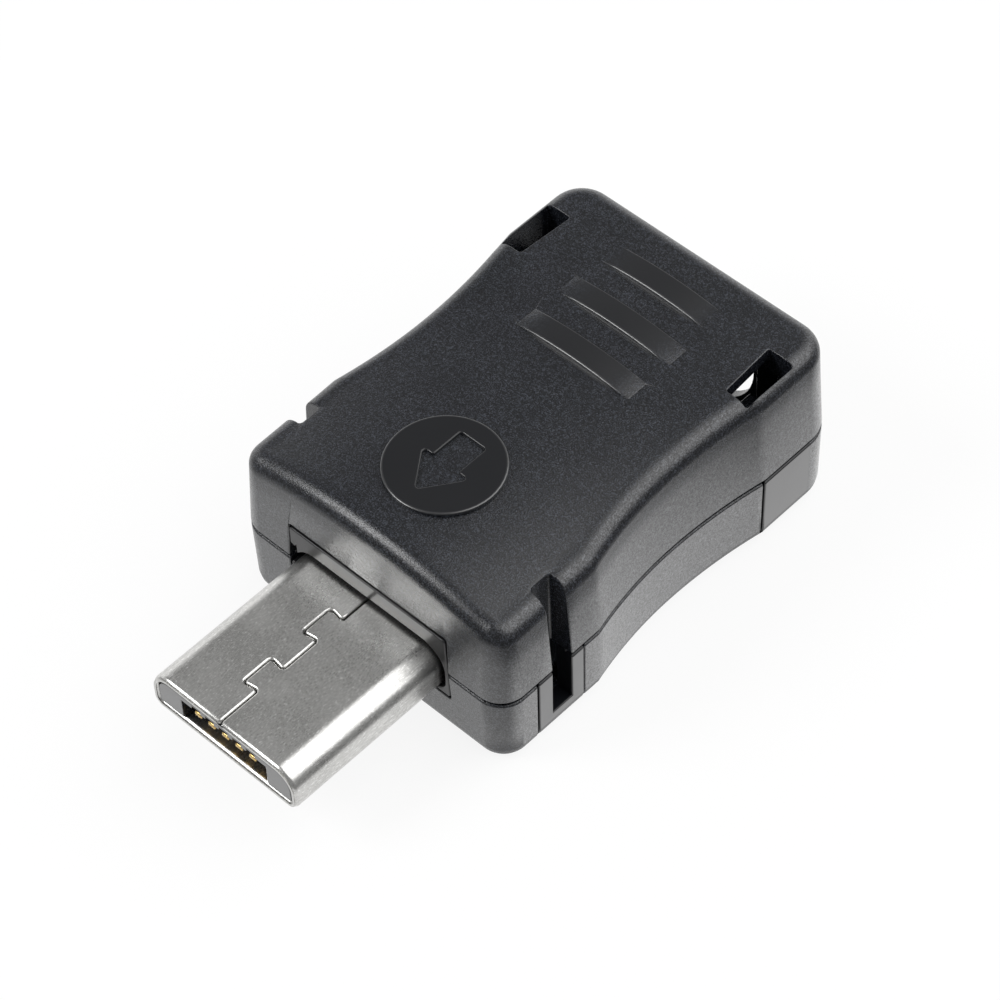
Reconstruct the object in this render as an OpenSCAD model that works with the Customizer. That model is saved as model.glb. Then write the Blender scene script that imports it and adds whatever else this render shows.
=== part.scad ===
// Micro USB plug in a two-part snap-together housing, all sizes in millimetres.
// The plug points towards -Y, the housing lies on its flat underside, and the origin is
// on the floor under the middle of the overall length.

/* [Housing] */
// Length of the housing from its front face to its rear face
body_l = 17.4; // [16.4:0.1:23]
// Width across the flats beside the plug, at the parting line
body_w = 12.65; // [12.4:0.05:15.5]
// Width across the flats at the rear, at the parting line
rear_w = 12.4; // [12:0.05:15.5]
// Width at the narrowest place of the finger waist
waist_w = 11.55; // [11.2:0.05:11.9]
// Height of the housing without its raised marks
body_h = 7.55; // [6.95:0.05:9.65]
// Height of the parting line between the two shells
part_z = 3.3; // [3.1:0.05:3.6]
// Length of the straight flat at the front of each side
front_flat = 4.75; // [4.35:0.05:5.8]
// Length of the straight flat at the rear of each side
rear_flat = 3.95; // [3.65:0.05:4.8]
// Radius of the upright corners at the front
front_corner = 1.05; // [0.95:0.05:1.7]
// Radius of the upright corners at the rear
rear_corner = 1.5; // [1.2:0.05:2.1]
// Draft of the upper shell's walls in degrees
upper_draft = 2.8; // [1:0.1:4]
// Draft of the lower shell's walls in degrees
lower_draft = 1; // [0.5:0.1:3]
// Radius rolled along the top edge
top_roll = 0.7; // [0.5:0.05:0.9]
// Drop of the crowned top face at its sides, at the front
top_crown = 0.95; // [0:0.05:1.15]
// Length over which the crown runs out to a flat top
crown_l = 12.4; // [8.7:0.1:14.5]
// Radius rolled along the bottom edge
bottom_roll = 0.6; // [0.3:0.05:0.7]
// Thickness of the side walls
wall = 1.15; // [1:0.05:1.25]
// Thickness of the roof and of the floor
skin = 1.15; // [0.9:0.05:1.3]
// Height of the shadow gap along the parting line
parting_gap = 0.1; // [0.08:0.01:0.18]
// Depth of the shadow gap along the parting line
parting_depth = 0.3; // [0.2:0.02:0.4]
// Chamfer that breaks the edges of the shadow gap
parting_break = 0.05; // [0.02:0.01:0.06]

/* [Grip bars] */
// Number of raised grip bars
bar_count = 3; // [1:1:4]
// Length of a grip bar across the housing
bar_l = 5.2; // [3.9:0.1:6.7]
// Width of a grip bar along the housing
bar_w = 1; // [0.7:0.01:1.3]
// Distance from one grip bar to the next
bar_pitch = 2.07; // [1.65:0.01:2.3]
// Rise of a grip bar in its middle
bar_arch = 0.21; // [0.1:0.01:0.4]
// Distance from the rear face to the last grip bar
bar_setback = 1.95; // [1.6:0.01:2.9]
// Radius of a grip bar's long edges
bar_edge = 0.08; // [0.03:0.01:0.1]

/* [Arrow disc] */
// Diameter of the raised disc
disc_d = 4.35; // [3.5:0.05:4.8]
// Height of the raised disc
disc_h = 0.12; // [0.06:0.01:0.3]
// Radius of the disc's rim
disc_edge = 0.06; // [0.02:0.01:0.1]
// Distance from the front face to the middle of the disc
disc_y = 4.05; // [3.7:0.05:4.8]
// Length of the sunk arrow
arrow_l = 2.8; // [2:0.05:3.1]
// Length of the arrow's head
arrow_head_l = 1.45; // [1:0.05:1.75]
// Width of the arrow's head
arrow_head_w = 2.1; // [1.6:0.05:2.5]
// Width of the arrow's shaft
arrow_shaft_w = 1.15; // [0.7:0.05:1.35]
// Radius of the arrow's corners
arrow_corner = 0.1; // [0.04:0.01:0.16]

/* [Snap openings] */
// Width of each front side slot along the housing
slot_w = 0.94; // [0.76:0.02:1.3]
// Distance from the front face to the middle of a side slot
slot_y = 2.93; // [2.7:0.01:3.3]
// Depth of the slot's upper channel, from the flat of the side
slot_depth = 0.96; // [0.76:0.02:1.06]
// Radius of the channel's two inner corners
slot_corner = 0.14; // [0.06:0.01:0.2]
// Height of the channel's lower end above the parting line
slot_rise = 0.1; // [0.05:0.05:1.1]
// Height of the slot's lower end above the floor
slot_low = 0.95; // [0.75:0.05:1.45]
// Width of each rear hole across the housing
hole_w = 1.09; // [0.9:0.01:1.2]
// Narrowing of each rear hole towards the front
hole_taper = 0.16; // [0:0.02:0.24]
// Length of each rear hole along the housing
hole_l = 2.4; // [1.8:0.1:2.7]
// Wall left between a rear hole and the rear flat
hole_wall = 0.46; // [0.42:0.02:0.6]
// Distance from the rear face to the middle of a rear hole
hole_setback = 3.34; // [3:0.02:3.7]
// Radius of the rear holes' corners
hole_corner = 0.1; // [0.06:0.02:0.3]
// Thickness of the roof beside a rear hole
hole_skin = 0.55; // [0.45:0.05:0.8]
// Reach of the thin roof beside a rear hole
hole_relief = 0.8; // [0.5:0.05:1]
// Thickness of the snap arms
arm_t = 0.6; // [0.5:0.05:0.7]
// Catch of a snap arm's nose
arm_catch = 0.28; // [0.2:0.02:0.36]
// Room left round moulded pieces that fit into each other
mould_gap = 0.1; // [0.06:0.01:0.14]

/* [Cable exit] */
// Diameter of the cable's exit in the rear wall
cable_d = 5.2; // [4.2:0.1:5.4]
// Thickness of the rear wall round the cable's exit
cable_lip = 0.5; // [0.45:0.05:0.8]
// Width of the thin rear wall round the cable's exit
cable_rim = 0.7; // [0.4:0.05:0.9]

/* [Mould panels] */
// Distance from the front face to the front panel on each side
panel_front = 1.75; // [1.6:0.05:1.95]
// Length of the front panel
panel_front_l = 2.26; // [2.1:0.02:2.4]
// Distance from the rear face to the rear panel on each side
panel_rear = 1.55; // [1.5:0.01:1.65]
// Length of the rear panel
panel_rear_l = 2.45; // [2.25:0.05:2.55]
// Width of the line at a panel's leading edge
panel_line = 0.08; // [0.04:0.01:0.12]
// Depth of the panel lines
panel_cut = 0.16; // [0.05:0.01:0.2]

/* [Collar] */
// Width of the smooth collar round the plug, at its foot
collar_w = 7.6; // [7.5:0.05:8.2]
// Width of the collar at its top
collar_top_w = 7.36; // [7.2:0.02:7.6]
// Length of the collar along the plug
collar_l = 1.2; // [1:0.05:1.4]
// Setback of the collar's face from the housing's front face
collar_set = 0.04; // [0.02:0.01:0.1]
// Height of the collar above the plug
collar_over = 0.98; // [0.8:0.02:1.2]
// Depth of the collar below the plug
collar_under = 0.24; // [0.2:0.02:0.4]
// Radius of the collar's corners
collar_corner = 0.12; // [0.05:0.01:0.18]
// Width of the line between the collar and the housing
collar_line = 0.04; // [0.03:0.01:0.08]
// Width of the line above the collar
collar_gap = 0.09; // [0.04:0.01:0.12]
// Room round the plug where it enters the collar
entry_gap = 0.15; // [0.08:0.01:0.18]
// More room above the plug where it enters the collar
entry_rise = 0.05; // [0:0.05:0.4]
// Depth of the room round the plug
entry_d = 0.6; // [0.4:0.05:0.8]
// Width of the notch at the collar's left side
notch_w = 0.4; // [0.2:0.02:0.44]
// Height of the notch
notch_h = 1.08; // [0.6:0.02:1.2]
// Depth of the notch below the parting line
notch_drop = 0.26; // [0.1:0.02:0.4]

/* [Plug] */
// Width of the plug's metal shell
plug_w = 6.85; // [6.8:0.01:6.9]
// Height of the plug's metal shell
plug_h = 1.8; // [1.76:0.01:1.85]
// Length of the plug in front of the housing
plug_l = 6.85; // [6.2:0.05:7.8]
// Length of the metal shell inside the housing
plug_tail = 4.5; // [4.1:0.1:5.2]
// Height of the plug's underside above the floor
plug_z = 2.17; // [2.1:0.01:2.35]
// Thickness of the sheet metal
plug_t = 0.25; // [0.22:0.01:0.28]
// Outer radius of the two shoulders on the narrow side
shoulder_r = 0.9; // [0.8:0.05:1.1]
// Outer radius of the two corners on the wide side
toe_r = 0.42; // [0.28:0.01:0.45]
// Width of the seam in the folded sheet
seam_gap = 0.04; // [0.03:0.01:0.08]
// Place of the seam beside the middle of the plug
seam_x = -0.08; // [-0.2:0.02:0.2]
// Radius of the seam's corners
seam_corner = 0.14; // [0.06:0.01:0.2]
// Length of a dovetail key in the seam
key_l = 1.35; // [1:0.05:1.75]
// Reach of a dovetail key beyond the seam
key_w = 0.64; // [0.4:0.02:0.78]
// Distance from one dovetail key to the next
key_pitch = 2.8; // [2.3:0.1:2.9]
// Distance from the plug's front edge to the first key
key_first = 1.72; // [1.4:0.02:1.95]
// Reach of the two ears that lock the shell in the housing
ear_reach = 0.8; // [0.5:0.05:1]
// Length of the two ears
ear_l = 1.4; // [1:0.1:1.8]

/* [Insulator] */
// Setback of the insulator's face from the plug's front edge
face_setback = 0.04; // [0.03:0.01:0.3]
// Width of the mouth that takes the socket's tongue
mouth_w = 4.05; // [3.8:0.05:4.1]
// Height of the mouth above the sheet metal under it
mouth_h = 1; // [0.94:0.01:1.02]
// Depth of the mouth
mouth_depth = 5.2; // [4.6:0.1:5.6]
// Length of the insulator behind the metal shell
block_l = 0.9; // [0.6:0.1:1.4]
// Room round metal pieces that are pushed into the insulator
press_gap = 0.03; // [0.02:0.01:0.04]

/* [Contacts] */
// Distance from one contact to the next
contact_pitch = 0.65; // [0.62:0.01:0.66]
// Width of a contact
contact_w = 0.34; // [0.28:0.01:0.38]
// Thickness of a contact
contact_t = 0.15; // [0.12:0.01:0.16]
// Depth of a contact's lowest place in the mouth
contact_bow = 0.42; // [0.36:0.01:0.46]
// Length of the solder tails behind the insulator
tail_l = 2.2; // [1.6:0.1:3]
// Offset of the solder tails above and below their row
tail_rise = 0.32; // [0.2:0.02:0.4]
// Length of a solder tail before its bend
tail_lead = 0.15; // [0.1:0.01:0.3]
// Length of the bend in a solder tail
tail_bend = 0.35; // [0.25:0.01:0.5]
// Depth of a contact's curled tip in the mouth
tip_drop = 0.3; // [0.2:0.01:0.34]
// Distance from the insulator's face to a contact's lowest place
bow_y = 0.5; // [0.4:0.05:0.7]
// Setback of a contact's tip from the insulator's face
tip_setback = 0.08; // [0.05:0.01:0.2]
// Length of a contact's steep rise behind its lowest place
bow_l = 1; // [0.8:0.05:1.2]
// Length of a contact that lies flat at the end of the mouth
flat_l = 0.6; // [0.3:0.05:0.8]

/* [Latches] */
// Distance of each latch from the middle of the plug
latch_x = 2.55; // [2.5:0.01:2.6]
// Thickness of a latch blade
latch_t = 0.3; // [0.26:0.01:0.32]
// Height of a latch arm
latch_h = 0.25; // [0.2:0.01:0.28]
// Reach of a latch hook below the plug's underside
hook_reach = 0.33; // [0.25:0.01:0.36]
// Length of a latch hook along the plug
hook_l = 1.25; // [1:0.05:1.4]
// Distance from the plug's front edge to a hook
hook_setback = 1.5; // [1.3:0.05:1.8]
// Distance from the housing's front face to the latch pivot
pivot_y = 1.1; // [0.9:0.05:1.3]
// Length of the latch root that sits in the insulator
root_l = 1; // [0.8:0.05:1.2]
// Height of the latch root
root_h = 0.42; // [0.36:0.01:0.46]
// Swing of a latch in degrees
latch_swing = 3; // [2.5:0.1:3.2]
// Room on each side of a latch
latch_gap = 0.07; // [0.06:0.01:0.09]

/* [Hidden] */
// a hair that lets cuts pass the face they open
eps = 0.02;
// overlap that roots ribs and arms in the floor and in the roof
bite = 0.15;
corner_steps = 12;
waist_steps = 26;
flat_steps = 5;
roll_steps = 8;
$fn = 48;
origin_y = (plug_l - body_l) / 2;

// rear holes, measured from the front face and the middle plane
hole_x1 = rear_w / 2 - hole_wall;
hole_x0 = hole_x1 - hole_w;
hole_y = body_l - hole_setback;
cable_z = part_z - parting_gap / 2;

// saddles that hold the plug between the two shells
saddle_wall = 0.9;
saddle_x = plug_w / 2 + saddle_wall;
saddle_y = plug_tail + press_gap + 0.5;
plug_top = plug_z + plug_h;

// snap arms at the front stand between the saddle and the side wall
front_arm_x1 = body_w / 2 - wall - mould_gap;
front_arm_x0 = front_arm_x1 - arm_t;
front_arm_l = slot_w + 0.7;
slot_x = body_w / 2 - slot_depth;
// snap arms at the rear stand along the side walls, under the holes
rear_arm_x1 = rear_w / 2 - wall - mould_gap;
rear_arm_x0 = rear_arm_x1 - arm_t;
rear_arm_l = hole_l / 2;
nose_h = 0.8;

// collar, and the ears that lie behind it
collar_y = collar_set + collar_l;
ear_y = collar_y + press_gap;

// inside of the plug
core_w = plug_w - 2 * plug_t - 2 * press_gap;
core_h = plug_h - 2 * plug_t - 2 * press_gap;
core_z = plug_z + plug_t + press_gap;
core_front = -plug_l + face_setback;
core_rear = plug_tail + block_l;
mouth_z = plug_z + plug_t;
mouth_rear = core_front + mouth_depth;
contact_z = mouth_z + mouth_h + contact_t / 2 - 0.02;
contact_count = 5;

// latches
latch_z = plug_z + plug_t + latch_gap;
pivot_z = latch_z + root_h / 2;
hook_y0 = -plug_l + hook_setback;
hook_y1 = hook_y0 + hook_l;
nib_l = 0.35;
latch_tip = hook_y0 - nib_l;
latch_lift = (pivot_y - latch_tip) * sin(latch_swing);

function arc(cx, cy, r, a0, a1, n) =
    [for (i = [0:n]) let (a = a0 + (a1 - a0) * i / n) [cx + r * cos(a), cy + r * sin(a)]];

// half-width along the finger waist, two parabolas that meet at the narrowest place
function waist_x(y, inset) =
    let (y0 = front_flat, y1 = body_l - rear_flat, ym = (y0 + y1) / 2)
    waist_w / 2 - inset + (y < ym
        ? (body_w - waist_w) / 2 * pow((ym - y) / (ym - y0), 2)
        : (rear_w - waist_w) / 2 * pow((y - ym) / (y1 - ym), 2));

// right half of the housing's outline, moved inwards by inset
function right_side(inset, nc, nw) =
    let (rf = max(front_corner - inset, 0.1), rr = max(rear_corner - inset, 0.1),
        y0 = front_flat, y1 = body_l - rear_flat)
    concat(
        [for (i = [1:nc - 1]) [(body_w / 2 - inset - rf) * i / nc, inset]],
        arc(body_w / 2 - inset - rf, inset + rf, rf, -90, 0, nc),
        [for (i = [1:flat_steps - 1]) [body_w / 2 - inset, inset + rf + (y0 - inset - rf) * i / flat_steps]],
        [for (i = [0:nw]) let (y = y0 + (y1 - y0) * i / nw) [waist_x(y, inset), y]],
        arc(rear_w / 2 - inset - rr, body_l - inset - rr, rr, 0, 90, nc));

function outline(inset, nc = corner_steps, nw = waist_steps) =
    let (right = right_side(inset, nc, nw), n = len(right))
    concat(right, [for (i = [n - 1:-1:0]) [-right[i][0], right[i][1]]]);

// top face, crowned across the housing at the front and flat at the rear
function top_z(p) =
    let (fade = p[1] < crown_l ? 1 - pow(max(p[1], 0) / crown_l, 1.5) : 0)
    body_h - top_crown * fade * pow(p[0] / (body_w / 2), 2);

// middle of a ring's box
function middle(ring) = [for (c = [0:2]) let (v = [for (p = ring) p[c]]) (min(v) + max(v)) / 2];

// closed skin through rings of equally many points, from the bottom up
module loft(rings) {
    n = len(rings[0]);
    m = len(rings) * n;
    polyhedron(
        concat([for (ring = rings) each ring], [middle(rings[0]), middle(rings[len(rings) - 1])]),
        concat(
            [for (i = [0:n - 1]) [m, i, (i + 1) % n]],
            [for (i = [0:n - 1]) [m + 1, m - n + (i + 1) % n, m - n + i]],
            [for (k = [0:len(rings) - 2], i = [0:n - 1]) let (j = (i + 1) % n)
                [k * n + i, k * n + n + i, k * n + n + j]],
            [for (k = [0:len(rings) - 2], i = [0:n - 1]) let (j = (i + 1) % n)
                [k * n + i, k * n + n + j, k * n + j]]),
        convexity = 6);
}

function level(inset, z) = [for (p = outline(inset)) [p[0], p[1], z]];

// ring on the rolled top edge at angle a, which starts upright at 0 and ends flat at 90
upper_lean = (body_h - top_roll - part_z) * tan(upper_draft);
roll_end = outline(upper_lean + top_roll);
function rolled(a) =
    let (ring = outline(upper_lean + top_roll * (1 - cos(a))))
    [for (i = [0:len(ring) - 1])
        [ring[i][0], ring[i][1], top_z(roll_end[i]) - top_roll * (1 - sin(a))]];
// ring on the crowned top, the roll's inner edge shrunk towards the middle by a share
function crowned(share) =
    [for (p = roll_end) let (q = [p[0], p[1] - body_l / 2] * (1 - share) + [0, body_l / 2])
        [q[0], q[1], top_z(q)]];
upper_rings = concat(
    [level(parting_break, part_z), level(0, part_z + parting_break)],
    [for (i = [0:roll_steps]) rolled(90 * i / roll_steps)],
    [for (share = [0.05, 0.14, 0.26, 0.4, 0.55, 0.7, 0.85]) crowned(share)]);

lower_lean = (part_z - bottom_roll) * tan(lower_draft);
lower_rings = concat(
    [for (i = [roll_steps / 2:-1:0]) let (a = 180 * i / roll_steps)
        level(lower_lean + bottom_roll * (1 - cos(a)), bottom_roll * (1 - sin(a)))],
    [level(0, part_z - parting_gap - parting_break), level(parting_break, part_z - parting_gap),
        level(parting_depth, part_z - parting_gap), level(parting_depth, part_z)]);

module box(x0, x1, y0, y1, z0, z1) {
    translate([x0, y0, z0]) cube([x1 - x0, y1 - y0, z1 - z0]);
}

module both_sides() {
    children();
    mirror([1, 0, 0]) children();
}

module both_faces() {
    children();
    mirror([0, 1, 0]) children();
}

// solid of a profile in the YZ plane, w thick and centred on x
module slab(x, w) {
    translate([x - w / 2, 0, 0]) rotate([90, 0, 90]) linear_extrude(w) children();
}

// solid of a profile in the XZ plane, between y0 and y1
module along_y(y0, y1) {
    translate([0, y1, 0]) rotate([90, 0, 0]) linear_extrude(y1 - y0) children();
}

// polygon with each corner rounded by r
function round_corner(a, b, c, r, n) =
    let (u = (a - b) / norm(a - b), v = (c - b) / norm(c - b), half = acos(u * v) / 2,
        m = (u + v) / norm(u + v), centre = b + m * r / sin(half),
        p = b + u * r / tan(half) - centre, q = b + v * r / tan(half) - centre,
        turn = acos(min(1, p * q / (r * r))))
    [for (i = [0:n]) let (t = i / n)
        centre + (sin((1 - t) * turn) * p + sin(t * turn) * q) / sin(turn)];
module rounded_polygon(points, r, n = 4) {
    c = len(points);
    polygon([for (i = [0:c - 1])
        each round_corner(points[(i + c - 1) % c], points[i], points[(i + 1) % c], r, n)]);
}

// D-shaped section of the plug, grown by g on every side
module plug_section(g) {
    w = plug_w / 2 + g;
    z0 = plug_z - g;
    z1 = plug_top + g;
    rs = shoulder_r + g;
    rt = max(toe_r + g, 0.04);
    intersection() {
        translate([-w, z0]) square([2 * w, z1 - z0]);
        union() {
            translate([-w + rs, z0]) square([2 * (w - rs), z1 - z0]);
            translate([-w, z0 + rt]) square([2 * w, z1 - rs - z0 - rt]);
            translate([-w + rt, z0]) square([2 * (w - rt), rt + eps]);
            for (s = [-1, 1]) {
                translate([s * (w - rs), z1 - rs]) circle(rs);
                translate([s * (w - rt), z0 + rt]) circle(rt);
            }
        }
    }
}

// section of the collar, grown by g on its sides and foot and by t at its top
module collar_section(g, t) {
    w0 = collar_w / 2 + g;
    w1 = collar_top_w / 2 + g;
    z0 = plug_z - collar_under - g;
    z1 = plug_top + collar_over + t;
    rounded_polygon([[-w0, z0], [w0, z0], [w1, z1], [-w1, z1]], collar_corner);
}

// holes through the roof down to the ledges that hold the rear snap arms
module rear_holes() {
    y0 = hole_y - hole_l / 2;
    y1 = hole_y + hole_l / 2;
    both_sides() {
        translate([0, 0, rear_catch_z - nose_h]) linear_extrude(body_h)
            rounded_polygon([[hole_x0 + hole_taper, y0], [hole_x1, y0], [hole_x1, y1], [hole_x0, y1]],
                hole_corner);
        box(hole_x0 - hole_relief, hole_x0 + hole_taper + hole_corner, y0, y1,
            body_h - skin - eps, body_h - hole_skin);
    }
}

// round exit for the cable, half in each shell, with a thin wall round it
module cable_exit() {
    y0 = body_l - wall - eps;
    translate([0, y0, cable_z]) rotate([-90, 0, 0]) cylinder(wall + 1, cable_d / 2, cable_d / 2);
    box(-cable_d / 2 - cable_rim, cable_d / 2 + cable_rim, y0, body_l - cable_lip,
        skin, cable_z + cable_d / 2 + cable_rim / 2);
}

// channel open at the top in the upper shell, and a window below it for the snap arm
module side_slots() {
    y0 = slot_y - slot_w / 2;
    y1 = slot_y + slot_w / 2;
    both_sides() {
        translate([0, 0, part_z + slot_rise - eps]) linear_extrude(body_h)
            rounded_polygon([[slot_x, y0], [body_w / 2 + 1, y0], [body_w / 2 + 1, y1], [slot_x, y1]],
                slot_corner);
        box(body_w / 2 - wall - eps, body_w / 2 + 1, y0, y1, slot_low, part_z + slot_rise);
    }
}

// thin lines where the mould's side panels meet the lower shell
module panel_lines() {
    for (panel = [[body_w / 2, panel_front, panel_front_l, 1],
            [rear_w / 2, body_l - panel_rear - panel_rear_l, panel_rear_l, 0]],
            end = [0:panel[3]])
        both_sides() translate([panel[0], panel[1] + end * panel[2], part_z]) rotate([0, lower_draft, 0])
            box(-panel_cut, 1, -panel_line / (2 + 2 * end), panel_line / (2 + 2 * end),
                bottom_roll / 2 - part_z, 1);
}

module front_opening() {
    along_y(-1, collar_y + press_gap) collar_section(collar_line, collar_gap);
    along_y(0, plug_tail + press_gap) plug_section(press_gap);
    along_y(0, saddle_y + 1) plug_section(-plug_t);
    both_sides() box(plug_w / 2 - plug_t, plug_w / 2 + ear_reach + press_gap,
        ear_y - press_gap, ear_y + ear_l + press_gap, plug_z - press_gap, plug_z + plug_t + press_gap);
}

// nose of a snap arm, a wedge that points towards +X; up is 1 or -1
module nose(x, y, len, z, up) {
    translate([0, y + len / 2, 0]) rotate([90, 0, 0]) linear_extrude(len)
        polygon([[x - eps, z], [x + arm_catch, z], [x + arm_catch, z + up * nose_h / 3],
            [x - eps, z + up * nose_h]]);
}

module nose_pocket(x, y, len, z, up) {
    z1 = z + up * (nose_h + mould_gap);
    box(x - eps, x + arm_catch + mould_gap, y - len / 2 - mould_gap, y + len / 2 + mould_gap,
        min(z, z1), max(z, z1));
}

// room inside the shells between two heights
module cavity(z0, z1) {
    translate([0, 0, z0]) linear_extrude(z1 - z0) polygon(outline(wall, 3, 10));
}

front_catch_z = skin + 0.9;
rear_catch_z = body_h - skin - 0.9;

module lower_shell() {
    color("#262626") difference() {
        union() {
            difference() {
                loft(lower_rings);
                cavity(skin, part_z + 1);
            }
            box(-saddle_x, saddle_x, wall / 2, saddle_y, skin - bite, part_z);
            both_sides() {
                box(rear_arm_x0, rear_arm_x1, hole_y - rear_arm_l / 2, hole_y + rear_arm_l / 2,
                    skin - bite, rear_catch_z);
                nose(rear_arm_x1, hole_y, rear_arm_l, rear_catch_z - nose_h, 1);
            }
        }
        cable_exit();
        side_slots();
        front_opening();
        panel_lines();
        both_sides() nose_pocket(front_arm_x1 + mould_gap, slot_y, front_arm_l, front_catch_z, -1);
    }
}

module upper_shell() {
    color("#2b2b2b") difference() {
        union() {
            difference() {
                loft(upper_rings);
                cavity(part_z - 1, body_h - skin);
            }
            box(-saddle_x, saddle_x, wall / 2, saddle_y, part_z, body_h - skin + bite);
            both_sides() {
                box(front_arm_x0, front_arm_x1, slot_y - front_arm_l / 2, slot_y + front_arm_l / 2,
                    front_catch_z - nose_h, body_h - skin + bite);
                nose(front_arm_x1, slot_y, front_arm_l, front_catch_z, -1);
                box(front_arm_x0, slot_x + eps, slot_y - front_arm_l / 2, slot_y + front_arm_l / 2,
                    part_z + slot_rise, body_h - skin + bite);
            }
            grip_bars();
            translate([0, disc_y, body_h - skin / 2]) rotate_extrude($fn = 96) rim(disc_d / 2,
                skin / 2 + disc_h, disc_edge);
        }
        rear_holes();
        cable_exit();
        side_slots();
        front_opening();
        arrow();
    }
}

// half section of a round plate of radius r and height h, its top edge rounded by e
module rim(r, h, e) {
    polygon(concat([[0, 0], [r, 0]], arc(r - e, h - e, e, 0, 90, 4), [[0, h]]));
}

// slices of wide round plates that stand upright across the housing
module grip_bars() {
    r = (bar_l * bar_l / 4 + bar_arch * bar_arch) / (2 * bar_arch);
    for (i = [0:bar_count - 1]) {
        y1 = body_l - bar_setback - i * bar_pitch;
        intersection() {
            translate([0, y1 - bar_w / 2, body_h + bar_arch - r]) both_faces() rotate([-90, 0, 0])
                rotate_extrude($fn = 240) rim(r, bar_w / 2, bar_edge);
            box(-bar_l / 2, bar_l / 2, y1 - bar_w, y1, body_h - skin / 2, body_h + bar_arch + 1);
        }
    }
}

module arrow() {
    tip = disc_y - arrow_l / 2;
    neck = tip + arrow_head_l;
    tail = disc_y + arrow_l / 2;
    translate([0, 0, body_h]) linear_extrude(disc_h + 1)
        rounded_polygon([[0, tip], [arrow_head_w / 2, neck], [arrow_shaft_w / 2, neck],
            [arrow_shaft_w / 2, tail], [-arrow_shaft_w / 2, tail], [-arrow_shaft_w / 2, neck],
            [-arrow_head_w / 2, neck]], arrow_corner);
}

// seam of the folded sheet, from the front edge back, with dovetail keys to one side
module seam() {
    flare = key_l / 12;
    keys = floor((plug_l - key_first - key_l) / key_pitch);
    corners = [for (k = [0:keys]) let (a = key_first + k * key_pitch)
        each [[0, a + flare], [-key_w, a], [-key_w, a + key_l], [0, a + key_l - flare]]];
    path = concat([[0, -1]], corners, [[0, plug_l + plug_tail + 1]]);
    last = len(path) - 1;
    bends = [for (i = [1:last - 1]) each round_corner(path[i - 1], path[i], path[i + 1], seam_corner, 4)];
    translate([seam_x, -plug_l, plug_top - plug_t - 0.2]) linear_extrude(plug_t + 1)
        strip(concat([path[0]], bends, [path[last]]), seam_gap);
}

// moulded collar that fills the housing's front round the plug
module collar() {
    w = collar_w / 2;
    n = notch_w;
    z0 = part_z - notch_drop;
    z1 = z0 + notch_h;
    color("#303032") difference() {
        along_y(collar_set, collar_y) collar_section(0, 0);
        along_y(0, collar_set + entry_d) plug_section(entry_gap);
        translate([0, 0, entry_rise]) along_y(0, collar_set + entry_d) plug_section(entry_gap);
        along_y(0, collar_y + 1) plug_section(press_gap);
        along_y(0, collar_y + 1) polygon([[-w - 1, z0], [-w + n, z0], [-w + n * 0.9, z1],
            [-w + n * 0.72, z1 - n / 3], [-w + n * 0.5, z1 - n / 8], [-w - 1, z1]]);
    }
}

module plug_shell() {
    color("#c9c9c6") difference() {
        union() {
            difference() {
                along_y(-plug_l, plug_tail) plug_section(0);
                along_y(-plug_l - 1, plug_tail + 1) plug_section(-plug_t);
            }
            both_sides() box(plug_w / 2 - toe_r, plug_w / 2 + ear_reach,
                ear_y, ear_y + ear_l, plug_z, plug_z + plug_t);
        }
        seam();
        both_sides() box(latch_x - latch_t / 2 - 2 * latch_gap, latch_x + latch_t / 2 + 2 * latch_gap,
            hook_y0 - 2 * latch_gap, hook_y1 + 2 * latch_gap, plug_z - 1, plug_z + plug_t + eps);
    }
}

module insulator() {
    w = latch_t / 2 + latch_gap;
    color("#3a3a3c") difference() {
        along_y(core_front, core_rear) plug_section(-plug_t - press_gap);
        box(-mouth_w / 2, mouth_w / 2, core_front - 1, mouth_rear, plug_z, mouth_z + mouth_h);
        for (i = [0:contact_count - 1]) {
            x = (i - (contact_count - 1) / 2) * contact_pitch;
            box(x - contact_w / 2 - press_gap, x + contact_w / 2 + press_gap, core_front - 1, core_rear + 1,
                contact_z - contact_t / 2 - press_gap, contact_z + contact_t / 2 + press_gap);
        }
        both_sides() {
            box(latch_x - w, latch_x + w, latch_tip - latch_gap, pivot_y - root_l / 2,
                plug_z, latch_z + latch_h + latch_lift + latch_gap);
            box(latch_x - w, latch_x + w, pivot_y - root_l / 2 - latch_gap, pivot_y + root_l / 2 + latch_gap,
                plug_z, latch_z + root_h + latch_gap);
        }
    }
}

// strip of even thickness t along a path of points
function side_of(path, i, t) =
    let (a = path[max(i - 1, 0)], b = path[i], c = path[min(i + 1, len(path) - 1)],
        u = i > 0 ? (b - a) / norm(b - a) : (c - b) / norm(c - b),
        v = i < len(path) - 1 ? (c - b) / norm(c - b) : u,
        m = (u + v) / norm(u + v))
    b + [-m[1], m[0]] * t / 2 / (m * u);
module strip(path, t) {
    n = len(path);
    polygon(concat([for (i = [0:n - 1]) side_of(path, i, t)],
        [for (i = [n - 1:-1:0]) side_of(path, i, -t)]));
}

module contact(i) {
    x = (i - (contact_count + 1) / 2) * contact_pitch;
    step = i % 2 == 1 ? -tail_rise : tail_rise;
    color("#c79a3b") slab(x, contact_w) strip([
        [core_front + tip_setback, contact_z - tip_drop],
        [core_front + bow_y, contact_z - contact_bow],
        [core_front + bow_y + bow_l, contact_z - contact_bow / 2],
        [mouth_rear - flat_l, contact_z],
        [core_rear + tail_lead, contact_z],
        [core_rear + tail_lead + tail_bend, contact_z + step],
        [core_rear + tail_l, contact_z + step]], contact_t);
}

module contact_1() { contact(1); }
module contact_2() { contact(2); }
module contact_3() { contact(3); }
module contact_4() { contact(4); }
module contact_5() { contact(5); }

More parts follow.
